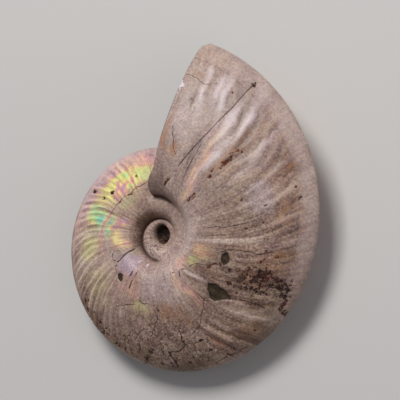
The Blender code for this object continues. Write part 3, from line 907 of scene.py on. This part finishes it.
# How strong the streaks along the ribs are
STREAKINESS = [
    (-220, 0.7, 45, 0.3, 1), (-150, 0.7, 25, 0.3, 0.95), (-45, 0.75, 14, 0.25, 0.95, 0.9),
    (5, 0.75, 26, 0.22, 0.85, 0.95), (62, 0.6, 18, 0.5, 0.22), (-92, 0.8, 28, 0.3, 0.12),
    (40, 0.5, 8, 0.4, 0.5, 0.8), (-5, 0.3, 10, 0.2, 0.8, 0.8), (20, 0.42, 22, 0.22, 0.75, 0.8),
    (-130, 0.15, 18, 0.12, 0.25, 0.8),
]

# Where the surface is eaten into small dark holes along the ribs
EATEN = [
    (-20.5, 0.72, 5.5, 0.07, 1), (-20.5, 0.87, 2.6, 0.06, 1, 1, 15), (-25, 0.6, 6, 0.04, 0.8),
    (-24, 0.93, 5, 0.03, 0.9), (-10, 0.7, 3, 0.08, 0.5, 0.9), (-31, 0.82, 3, 0.09, 0.7, 0.9, 10),
    (39, 0.55, 1.2, 0.09, 0.8, 1, 10), (35, 0.19, 2, 0.045, 0.95), (35.5, 0.09, 1.5, 0.03, 0.7),
    (-78, 0.92, 7, 0.05, 0.7, 0.9), (-132, 0.93, 20, 0.04, 0.7, 0.9), (-58, 0.95, 10, 0.03, 0.6, 0.8),
    (12, 0.68, 5, 0.05, 0.3, 0.8), (48, 0.01, 14, 0.02, 0.5, 0.8), (66, 0, 5, 0.02, 0.7, 0.8),
    (64, 0.78, 6, 0.06, 0.25, 0.8), (-30, 0.55, 5, 0.06, 0.6, 0.8), (-225, 0.43, 12, 0.015, 0.5, 0.8),
]

# Small painted highlights: white glints on the nacre and the lip, where the shine is also a little smoother
GLOSS_AND_PAINTED_GLINTS = [
    (76.2, 0.7, 1.2, 0.06, 1), (-197, 0.48, 0.7, 0.09, 0.55), (-234, 0.66, 1, 0.04, 0.5),
    (-125, 0.08, 3, 0.025, 0.85), (-108, 0.085, 5, 0.025, 0.85), (-95, 0.12, 5, 0.02, 0.5),
]

# Single ribs and folds that stand out, from -1 for a dark valley to 1 or more for a pale crest. They are
# raised in
# the mesh, and their tone is painted: painted highlight on the crests and painted shade in the valleys.
FOLDS = [
    (68.5, 0.77, 1.3, 0.11, 1.3, 1, 14), (63, 0.8, 1.1, 0.09, 0.9, 1, 12),
    (59.5, 0.78, 1.3, 0.12, 1.2, 1, 20), (70.5, 0.66, 0.9, 0.06, -0.8, 0.9, 10),
    (66, 0.76, 0.9, 0.08, -0.6, 0.9, 14), (56.5, 0.77, 1, 0.12, -0.5, 0.9, 25),
    (51.5, 0.67, 1.9, 0.13, 1, 1, 8), (48.6, 0.73, 1.2, 0.09, -1, 1, 28),
    (45.5, 0.73, 1.9, 0.17, 1.1, 1, 22), (44.5, 0.47, 2.2, 0.13, 0.9, 1, -6),
    (40.3, 0.64, 1.9, 0.17, -0.9, 1, 18), (34.5, 0.77, 1.3, 0.13, 0.8, 1, 24),
    (31, 0.64, 1.3, 0.13, 0.6, 1, 20), (37.5, 0.82, 1, 0.08, -0.6, 1, 24),
    (27.5, 0.84, 1.2, 0.09, -0.6, 1, 22), (21, 0.86, 1.2, 0.08, -0.7, 1, 26),
    (16, 0.84, 1.2, 0.1, 0.5, 1, 24), (10.5, 0.86, 1, 0.08, -0.6, 1, 20),
    (24.5, 0.78, 1.2, 0.1, 0.5, 1, 24), (5.5, 0.84, 1, 0.09, 0.5, 1, 20),
    (0.5, 0.84, 1.1, 0.09, -0.6, 1, 20), (-4, 0.84, 1, 0.08, 0.5, 1, 20),
    (-8.5, 0.86, 1, 0.07, -0.6, 1, 20), (-5, 0.45, 1.2, 0.24, 0.4, 1, 8), (-8, 0.28, 0.7, 0.12, 0.5, 1, 6),
    (-2, 0.36, 0.7, 0.14, -0.5, 1, 8), (53, 0.28, 0.8, 0.12, -0.9, 1, 20),
    (56.5, 0.33, 0.8, 0.14, -0.7, 1, 15), (58.5, 0.24, 0.7, 0.1, -0.6, 1, 12),
    (-40, 0.3, 1.6, 0.1, 1.6, 1, 22), (-43.5, 0.28, 1.2, 0.1, -0.7, 1, 22),
    (-48, 0.8, 1.2, 0.12, 0.4, 1, 30), (-44, 0.8, 1, 0.12, -0.8, 1, 30), (-38, 0.82, 1.2, 0.12, 0.8, 1, 24),
    (-54, 0.8, 1.2, 0.12, 0.4, 1, 30), (-51, 0.82, 1, 0.12, -0.8, 1, 30), (-59, 0.78, 1, 0.1, -0.7, 1, 30),
    (-64, 0.8, 1, 0.1, 0.5, 1, 30), (-187, 0.72, 1.3, 0.18, -1, 1, 14), (-171, 0.8, 1.3, 0.16, -1, 1, 16),
    (-155, 0.66, 1.4, 0.2, -1, 1, 14), (-139, 0.7, 1.4, 0.18, -1, 1, 14),
    (-130, 0.72, 1.2, 0.14, -0.8, 1, 14), (-181, 0.7, 1.2, 0.18, 0.8, 1, 14),
    (-149, 0.66, 1.3, 0.18, 0.7, 1, 14), (-195, 0.74, 1, 0.12, 0.6, 1, 14), (-204, 0.5, 1.4, 0.2, -1, 1, 6),
    (-209, 0.26, 1.6, 0.08, -0.8, 1, 25), (-191, 0.22, 1.9, 0.12, -0.9, 1, 10),
    (-261, 0.66, 1.1, 0.25, -0.5, 1, 8), (-250, 0.8, 0.9, 0.1, 0.5, 1, 15),
    (-240, 0.8, 0.8, 0.1, -0.4, 1, 15), (-162, 0.76, 1, 0.14, 0.7, 1, 16),
    (-117, 0.62, 1.2, 0.12, 0.5, 1, 14), (-146, 0.8, 0.9, 0.12, -0.6, 1, 16),
    (-133, 0.6, 1, 0.14, 0.6, 1, 12),
]

FOLD_HEIGHT = 0.00024
SEAM_DIRT_AND_SHADE_SHARE = 0.035
HUE_WAVER = 1.6
HUE_WAVE = 0.007
FOLD_WAVER = 0.4
FOLD_WAVE = 0.012
SHARE_WAVER = 0.015
SHARE_WAVE = 0.006

stroke_degrees = degrees_round + HUE_WAVER * waver(HUE_WAVE)
fold_degrees = degrees_round + FOLD_WAVER * waver(FOLD_WAVE)
stroke_share = height_share + SHARE_WAVER * waver(SHARE_WAVE)


def brush(base, strokes, hardness=1.5, round_coil=stroke_degrees):
    """A value all over the stone: a base with soft strokes laid on it in turn."""
    value = np.full(vertex_count, base)

    def lay(degrees_at, share_at, reach, rise, wanted, strength=1.0, slant=0.0):
        along = (round_coil - degrees_at - slant * (stroke_share - share_at)) / reach
        across = (stroke_share - share_at) / rise
        return (wanted - value) * strength * np.exp(-((along**2 + across**2) ** hardness))

    for stroke in strokes:
        value += lay(*stroke)
    return value


fold = brush(0.0, FOLDS, 1.0, fold_degrees)
sunk -= FOLD_HEIGHT * fold
painted_values = {
    "paleness_and_shade": np.clip(brush(0.55, PALENESS_AND_SHADE), 0, 1),
    "warmth": brush(0.5, WARMTH),
    "nacre_hue": brush(0.3, NACRE_HUE, 2.0),
    "nacre": brush(0.06, NACRE),
    "rust": brush(0.0, RUST),
    "worn": brush(0.1, WORN),
    "gloss_and_painted_glint": brush(0.0, GLOSS_AND_PAINTED_GLINTS),
    "eaten": brush(0.0, EATEN),
    "streakiness": brush(0.45, STREAKINESS),
    "fold": fold,
    "crack_near": crack_near,
    "crack_side": crack_side,
    "chip": chip_depth,
    "bare": bare,
    "pit": pit_depth,
    "seam": (1 - ease(0, SEAM_DIRT_AND_SHADE_SHARE, height_share)) * (1 - filled_seam(older)),
    "sediment": sediment,
    "hole": hole,
}
for name, values in painted_values.items():
    mesh.attributes.new(name, "FLOAT", "POINT").data.foreach_set("value", values.astype(np.float32))

normals = np.empty(vertex_count * 3)
mesh.vertices.foreach_get("normal", normals)
sunk *= (np.abs(flank_side) > 0.5) * ease(0.0, REST_MARGIN, coordinates[:, 2] - cad_low.z)
coordinates -= normals.reshape(-1, 3) * sunk[:, None]
coordinates -= np.outer(HOLE_DEPTH * hole * np.sign(flank_side), lean.to_3x3().col[2])
mesh.vertices.foreach_set("co", coordinates.ravel())
mesh.update()

# The finish of the stone
# A polished fossil has a soft shine, with fine growth lines across each whorl. The ribs' crests are paler and
# their valleys darker, the folds with painted highlight and painted shade, and dirt stays in the cracks and
# the pits.
SHINE = 0.33
CLOUDS_PER_METRE = 100.0
FLAKES_PER_METRE = 190.0
MOTTLES_PER_METRE = 330.0
GRAINS_PER_METRE = 1100.0
WEB_CELLS_PER_METRE = 170.0
WEB_WAVER = 0.0012
FLECKS_PER_METRE = 300.0
DOTS_PER_METRE = 560.0
VENTER_EDGE = (0.885, 0.91)
VENTER_LINE = 0.89

# Colours as a screen shows them. Ramps run from dark to pale, and the nacre's films from rose to blue.
COOL_STONE = [(0, (48, 34, 31)), (0.3, (106, 86, 82)), (0.6, (163, 143, 140)), (1, (228, 211, 212))]
WARM_STONE = [(0, (52, 34, 26)), (0.3, (112, 85, 72)), (0.6, (174, 145, 132)), (1, (230, 209, 199))]
CREST_HIGHLIGHT = (212, 202, 212)
FILMS = [
    (0.0, (186, 152, 182)), (0.12, (230, 164, 176)), (0.25, (244, 184, 144)), (0.37, (244, 218, 156)),
    (0.50, (241, 232, 142)), (0.62, (214, 231, 152)), (0.75, (174, 224, 168)), (0.88, (140, 210, 192)),
    (1.0, (166, 204, 216)),
]
BARE_NACRE = [(0, (148, 128, 136)), (0.5, (180, 162, 172)), (1, (216, 204, 214))]
PAINTED_GLINT = (240, 232, 242)
RUST_BROWN = (140, 92, 62)
RUST_OCHRE = (182, 116, 52)
FLAKE_EDGE = (52, 36, 30)
WEB_DIRT = (50, 34, 28)
FLECK_DIRT = (58, 40, 32)
DOT_DIRT = (52, 28, 22)
CRACK_DIRT = (34, 13, 6)
SEAM_DIRT_AND_SHADE = (46, 20, 10)
RED_PIT = [(0, (44, 15, 9)), (1, (112, 44, 27))]
DARK_PIT = [(0, (14, 4, 1)), (0.5, (34, 11, 5)), (1, (74, 27, 16))]
DARK_ROCK = [(0, (26, 19, 13)), (0.5, (54, 43, 30)), (1, (94, 77, 57))]
HOLE_MUD_AND_SHADE = [(0, (12, 5, 3)), (0.5, (40, 23, 15)), (1, (104, 74, 56))]
MOUTH_MUD = [(0, (46, 38, 33)), (0.5, (88, 76, 66)), (1, (130, 118, 104))]

shell_material.use_nodes = True
finish = shell_material.node_tree
shader = finish.nodes["Principled BSDF"]
shader.inputs["Specular IOR Level"].default_value = SHINE


def paint(colour):
    """A screen's colour, from 0 to 255, as the renderer's own values."""
    linear = [((c / 255 + 0.055) / 1.055) ** 2.4 if c > 10 else c / 255 / 12.92 for c in colour]
    return (*linear, 1.0)


def ramp(field, stops):
    """A colour for each value of a field."""
    node = add_node(finish, "ShaderNodeValToRGB", fac=field)
    elements = node.color_ramp.elements
    elements[0].position, elements[0].color = stops[0][0], paint(stops[0][1])
    elements[1].position, elements[1].color = stops[-1][0], paint(stops[-1][1])
    for position, colour in stops[1:-1]:
        elements.new(position).color = paint(colour)
    return Field(node.outputs["Color"])


def mix(first, second, share):
    node = add_node(finish, "ShaderNodeMix", {"data_type": "RGBA"}, factor=share, a=first, b=second)
    return Field(next(socket for socket in node.outputs if socket.enabled))


def painted_on(name):
    return Field(add_node(finish, "ShaderNodeAttribute", {"attribute_name": name}).outputs["Fac"])


def change_vector(operation, vector, other=None):
    """A vector changed by another, which is a field or plain numbers."""
    node = add_node(finish, "ShaderNodeVectorMath", {"operation": operation}, vector=vector)
    if other is not None:
        plug(node.inputs[1], other)
    return Field(node.outputs[0])


values = {name: painted_on(name) for name in [*painted_values, "crest"]}
growth = add_node(finish, "ShaderNodeAttribute", {"attribute_name": "growth"})
growth = add_node(finish, "ShaderNodeSeparateXYZ", vector=Field(growth.outputs["Vector"]))
ahead_here, share_here, side_here = (Field(socket) for socket in growth.outputs)
stone = Field(finish.nodes.new("ShaderNodeTexCoord").outputs["Object"])


def streaks(per_degree, per_share, detail=3.0, roughness=0.5):
    """Noise drawn out along the ribs."""
    along_ribs = vector_of(finish, ahead_here * per_degree, share_here * per_share, side_here)
    return noise(finish, along_ribs, 1.0, detail, roughness)


broad = streaks(0.22, 1.6)
middling = streaks(0.8, 3.0)
fine = streaks(2.6, 9.0)
cloud = noise(finish, stone, CLOUDS_PER_METRE, 3.0)
mottle = noise(finish, stone, MOTTLES_PER_METRE, 4.0, 0.65)
grain = noise(finish, stone, GRAINS_PER_METRE, 3.0, 0.7)
flakes = noise(finish, stone, FLAKES_PER_METRE, 3.0, 0.6)
worn = values["worn"].clip(0, 1)
streakiness = values["streakiness"]

# The stone's colour: grey-rose or brown, paler on the crests and darker in the valleys. The folds' tone is
# painted highlight and painted shade, and the paleness strokes hold painted shade.
venter = ease(*VENTER_EDGE, share_here)
venter_line = 1 - ease(0.0, 0.008, abs(share_here - VENTER_LINE - 0.004 * middling))
liveliness = (1 - 0.3 * venter) * (0.62 + 0.26 * streakiness + 0.4 * worn).clip(0, 1)
streaky = (0.22 * broad + 0.19 * middling + 0.12 * fine) * streakiness
spotty = 0.09 * cloud + (0.09 + 0.10 * worn) * mottle + (0.34 + 0.10 * worn) * grain
flake = ease(-0.03, 0.03, flakes)
# Paleness with painted shade in it, and painted highlight and shade from the folds
tone = values["paleness_and_shade"] + (0.07 + 0.08 * streakiness) * values["crest"] + 0.20 * values["fold"]
# The venter strip is a little paler, partly as painted rim light
tone = tone + streaky * liveliness + 0.04 * venter - 0.07 * venter_line
tone = tone + spotty * liveliness + (flake - 0.5) * 0.08 * worn
warm = values["warmth"] + 0.22 * cloud + 0.45 * mottle + 0.35 * middling + 0.35 * grain * liveliness
colour = mix(ramp(tone, COOL_STONE), ramp(tone, WARM_STONE), warm.clip(0, 1))
# Painted highlight: a lilac-white sheen on the pale folds' crests
crest_highlight = values["fold"] * (0.8 - values["warmth"]) * (0.8 + mottle)
colour = mix(colour, paint(CREST_HIGHLIGHT), crest_highlight.clip(0, 0.5))

# Nacre and rust
hue = values["nacre_hue"] + 0.14 * broad + 0.20 * middling + 0.10 * fine + 0.08 * mottle
lustre = 1 + 0.35 * middling + 0.25 * values["crest"] + 0.3 * values["fold"] + 0.3 * mottle
lustre = (values["nacre"] * lustre).clip(0, 1)
# The folds brighten the nacre's films too, as painted highlight
film_shade = 1 + 0.6 * streaky + 0.14 * mottle + 0.2 * grain + 0.12 * values["fold"] + 0.1 * values["crest"]
film_shade = film_shade.clip(0, 1.12)
shaded = {"vector": ramp(hue, FILMS), "scale": film_shade}
shaded = add_node(finish, "ShaderNodeVectorMath", {"operation": "SCALE"}, **shaded)
colour = mix(colour, Field(shaded.outputs[0]), lustre)
bare_share = (values["bare"] * (0.75 + 0.8 * mottle + 0.4 * middling)).clip(0, 0.9)
colour = mix(colour, ramp(0.5 + 0.4 * cloud + 0.5 * grain, BARE_NACRE), bare_share)
rust = (values["rust"] * (0.8 + 1.5 * mottle + 0.7 * middling)).clip(0, 1)
colour = mix(colour, mix(paint(RUST_BROWN), paint(RUST_OCHRE), rust), rust * 0.75)

# Flakes, a web of fine cracks, flecks and dots where the outer layer is worn
flake_edge = (1 - ease(0.0, 0.07, abs(flakes))) * ease(-0.1, 0.35, broad + cloud + 0.6 * worn - 0.2)
flake_edge = flake_edge * ease(0.3, 0.8, worn)
colour = mix(colour, paint(FLAKE_EDGE), flake_edge * 0.6)
web_waver = vector_of(finish, WEB_WAVER * mottle, WEB_WAVER * flakes, WEB_WAVER * grain)
web = add_node(
    finish, "ShaderNodeTexVoronoi", {"feature": "DISTANCE_TO_EDGE"},
    vector=change_vector("ADD", web_waver, stone), scale=WEB_CELLS_PER_METRE,
)
web = 1 - ease(0.01, 0.06, Field(web.outputs["Distance"]))
web = web * ease(0.25, 0.6, cloud + 0.5 * flakes) * ease(0.4, 0.9, worn)
colour = mix(colour, paint(WEB_DIRT), web * 0.6)
flecks = ease(0.6, 0.85, noise(finish, stone, FLECKS_PER_METRE, 4.0, 0.7)) * worn
colour = mix(colour, paint(FLECK_DIRT), flecks * 0.75)
near_pit = ease(-2.2, -0.2, values["pit"])
dots = ease(0.85, 1.0, noise(finish, stone, DOTS_PER_METRE, 2.0) + 0.75 * near_pit * worn)
dots = dots * (0.35 + worn + near_pit).clip(0, 1)
colour = mix(colour, paint(DOT_DIRT), dots * 0.85)

# Cracks, pits, dirt with painted shade in the seam's crease, the dark rock under lost plates, and painted
# glints
crack = 1 - ease(0.55, 1.25, abs(values["crack_side"]) + 0.3 * fine)
crack = crack * ease(0.45, 0.75, values["crack_near"])
colour = mix(colour, paint(CRACK_DIRT), crack * 0.9)
broken = 0.50 * mottle + (0.45 + 1.9 * worn) * grain + 0.25 * worn * fine
pit = ease(-0.06, 0.10, values["pit"].clip(-FAR_AWAY, 0.32) + broken - 0.04)
eaten = ease(0.50, 0.60, streaks(1.1, 22, 4.0, 0.65) * 0.6 + 0.6 * values["eaten"] + 0.12 * mottle)
pit = pit.math("MAXIMUM", pit, eaten * ease(0.1, 0.3, values["eaten"]))
pit_colour = mix(
    ramp(0.4 + mottle, RED_PIT), ramp(0.4 + mottle, DARK_PIT), (1.6 * worn + 0.3 * cloud).clip(0, 1)
)
colour = mix(colour, pit_colour, pit * 0.95)
# A dark line along the inner seam: partly dirt and partly painted shade in the crease
seam_dirt_and_shade = (values["seam"] * (1.1 + 0.5 * mottle)).clip(0, 1)
colour = mix(colour, paint(SEAM_DIRT_AND_SHADE), seam_dirt_and_shade * 0.9)
chip = ease(-0.08, 0.08, values["chip"] + 0.05 * mottle)
colour = mix(colour, ramp(0.5 + 0.4 * mottle + 0.3 * grain, DARK_ROCK), chip)
# Painted highlights: small white glints
painted_glint = ease(0.45, 1.05, values["gloss_and_painted_glint"] + 0.4 * mottle + 0.9 * grain - 0.1)
painted_glint = painted_glint * ease(0.1, 0.3, values["gloss_and_painted_glint"])
colour = mix(colour, paint(PAINTED_GLINT), painted_glint * 0.9)

# Mud, with rays round the hole in the middle. The hole's mud is partly painted shade.
outward = change_vector("MULTIPLY", change_vector("SUBTRACT", stone, coil_centre), (1, 1, 0))
rays = noise(finish, change_vector("NORMALIZE", outward), 6.0, 3.0, 0.6)
mouth_mud = ramp(0.5 + 0.35 * mottle + 0.25 * cloud, MOUTH_MUD)
colour = mix(colour, mouth_mud, ease(0.3, 0.7, values["sediment"] + 0.15 * mottle))
colour = mix(colour, ramp(0.34 + 0.5 * mottle + 1.6 * rays, HOLE_MUD_AND_SHADE), values["hole"])
plug(shader.inputs["Base Color"], colour)

dull = chip + pit + values["sediment"]
roughness = 0.40 + 0.12 * worn - 0.08 * lustre + 0.10 * mottle - 0.10 * values["gloss_and_painted_glint"].clip(0, 1)
plug(shader.inputs["Roughness"], (roughness + 0.4 * dull).clip(0.2, 0.95))

# Relief too fine for the mesh, in metres
relief = (0.000045 * middling + 0.000022 * fine) * streakiness + 0.000014 * grain
relief = relief + 0.00005 * mottle * (0.25 + worn) + 0.00007 * flake * worn
relief = relief - 0.00008 * flake_edge - 0.00008 * web - 0.00012 * crack
relief = relief + 0.00006 * mottle * (chip + values["sediment"])
bump = add_node(finish, "ShaderNodeBump", height=relief)
bump.inputs["Distance"].default_value = 1.0
finish.links.new(bump.outputs[0], shader.inputs["Normal"])

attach(shell, "root")
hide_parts("ammonite")

# The floor, the light and the camera
# A plain pale tabletop under soft light from above and behind, seen from the photo's angle. The camera
# looks down on the upper flank, because the coil can't stand on its edge.
TILT_ACROSS = math.radians(27.62)
TILT_ALONG = math.radians(-2.34)
CAMERA_DISTANCE = 0.8646
AIM_RIGHT = 0.01305
AIM_UP = 0.01411
FRAME_WIDTH = 0.1572
SENSOR_WIDTH = 36
FLOOR_HALF_WIDTH = 1.5
FLOOR_COLOUR = (0.62, 0.61, 0.60, 1)
FLOOR_ROUGHNESS = 0.8
KEY_PLACE = (-0.45, 0.75, 0.75)
KEY_SIZE = 0.45
KEY_POWER = 10.2
KEY_COLOUR = (1.0, 0.98, 0.95)
FILL_PLACE = (0.5, -0.1, 0.9)
FILL_SIZE = 0.8
FILL_POWER = 1.3
FILL_COLOUR = (0.95, 0.97, 1.0)
ROOM_COLOUR = (0.175, 0.175, 0.185, 1)

floor_mesh = bpy.data.meshes.new("floor")
floor_shape = bmesh.new()
bmesh.ops.create_grid(floor_shape, x_segments=1, y_segments=1, size=FLOOR_HALF_WIDTH)
floor_shape.to_mesh(floor_mesh)
floor_shape.free()
floor = bpy.data.objects.new("floor", floor_mesh)
floor.location.z = cad_low.z
bpy.context.scene.collection.objects.link(floor)
floor_paint = bpy.data.materials.new("floor")
floor_paint.use_nodes = True
floor_shader = floor_paint.node_tree.nodes["Principled BSDF"]
floor_shader.inputs["Base Color"].default_value = FLOOR_COLOUR
floor_shader.inputs["Roughness"].default_value = FLOOR_ROUGHNESS
floor_mesh.materials.append(floor_paint)

turned = lean.to_3x3()
right = turned @ Vector((math.cos(TILT_ACROSS), 0, -math.sin(TILT_ACROSS)))
towards = turned @ Vector((
    math.sin(TILT_ACROSS) * math.cos(TILT_ALONG),
    math.sin(TILT_ALONG),
    math.cos(TILT_ACROSS) * math.cos(TILT_ALONG),
))
up = towards.cross(right)
target = Vector(coil_centre) + right * AIM_RIGHT + up * AIM_UP
eye = Vector(coil_centre) + towards * CAMERA_DISTANCE
backward = (eye - target).normalized()
sideways = up.cross(backward).normalized()
camera_data = bpy.data.cameras.new("camera")
camera_data.sensor_width = SENSOR_WIDTH
camera_data.lens = SENSOR_WIDTH * (eye - target).length / FRAME_WIDTH
camera = bpy.data.objects.new("camera", camera_data)
axes = Matrix((sideways, backward.cross(sideways), backward)).transposed()
camera.matrix_world = Matrix.Translation(eye) @ axes.to_4x4()
bpy.context.scene.collection.objects.link(camera)
bpy.context.scene.camera = camera


def add_lamp(name, place, size, power, colour):
    """A square soft light that faces the ammonite."""
    data = bpy.data.lights.new(name, "AREA")
    data.size = size
    data.energy = power
    data.color = colour
    lamp = bpy.data.objects.new(name, data)
    lamp.location = place
    lamp.rotation_euler = (-Vector(place)).to_track_quat("-Z", "Y").to_euler()
    bpy.context.scene.collection.objects.link(lamp)


def from_camera(rightward, upward, nearer):
    """A place given in the picture's own directions."""
    return Vector(coil_centre) + right * rightward + up * upward + towards * nearer


add_lamp("key light", from_camera(*KEY_PLACE), KEY_SIZE, KEY_POWER, KEY_COLOUR)
add_lamp("fill light", from_camera(*FILL_PLACE), FILL_SIZE, FILL_POWER, FILL_COLOUR)
world = bpy.data.worlds.new("studio")
world.use_nodes = True
world.node_tree.nodes["Background"].inputs["Color"].default_value = ROOM_COLOUR
bpy.context.scene.world = world
bpy.context.scene.view_settings.view_transform = "Standard"
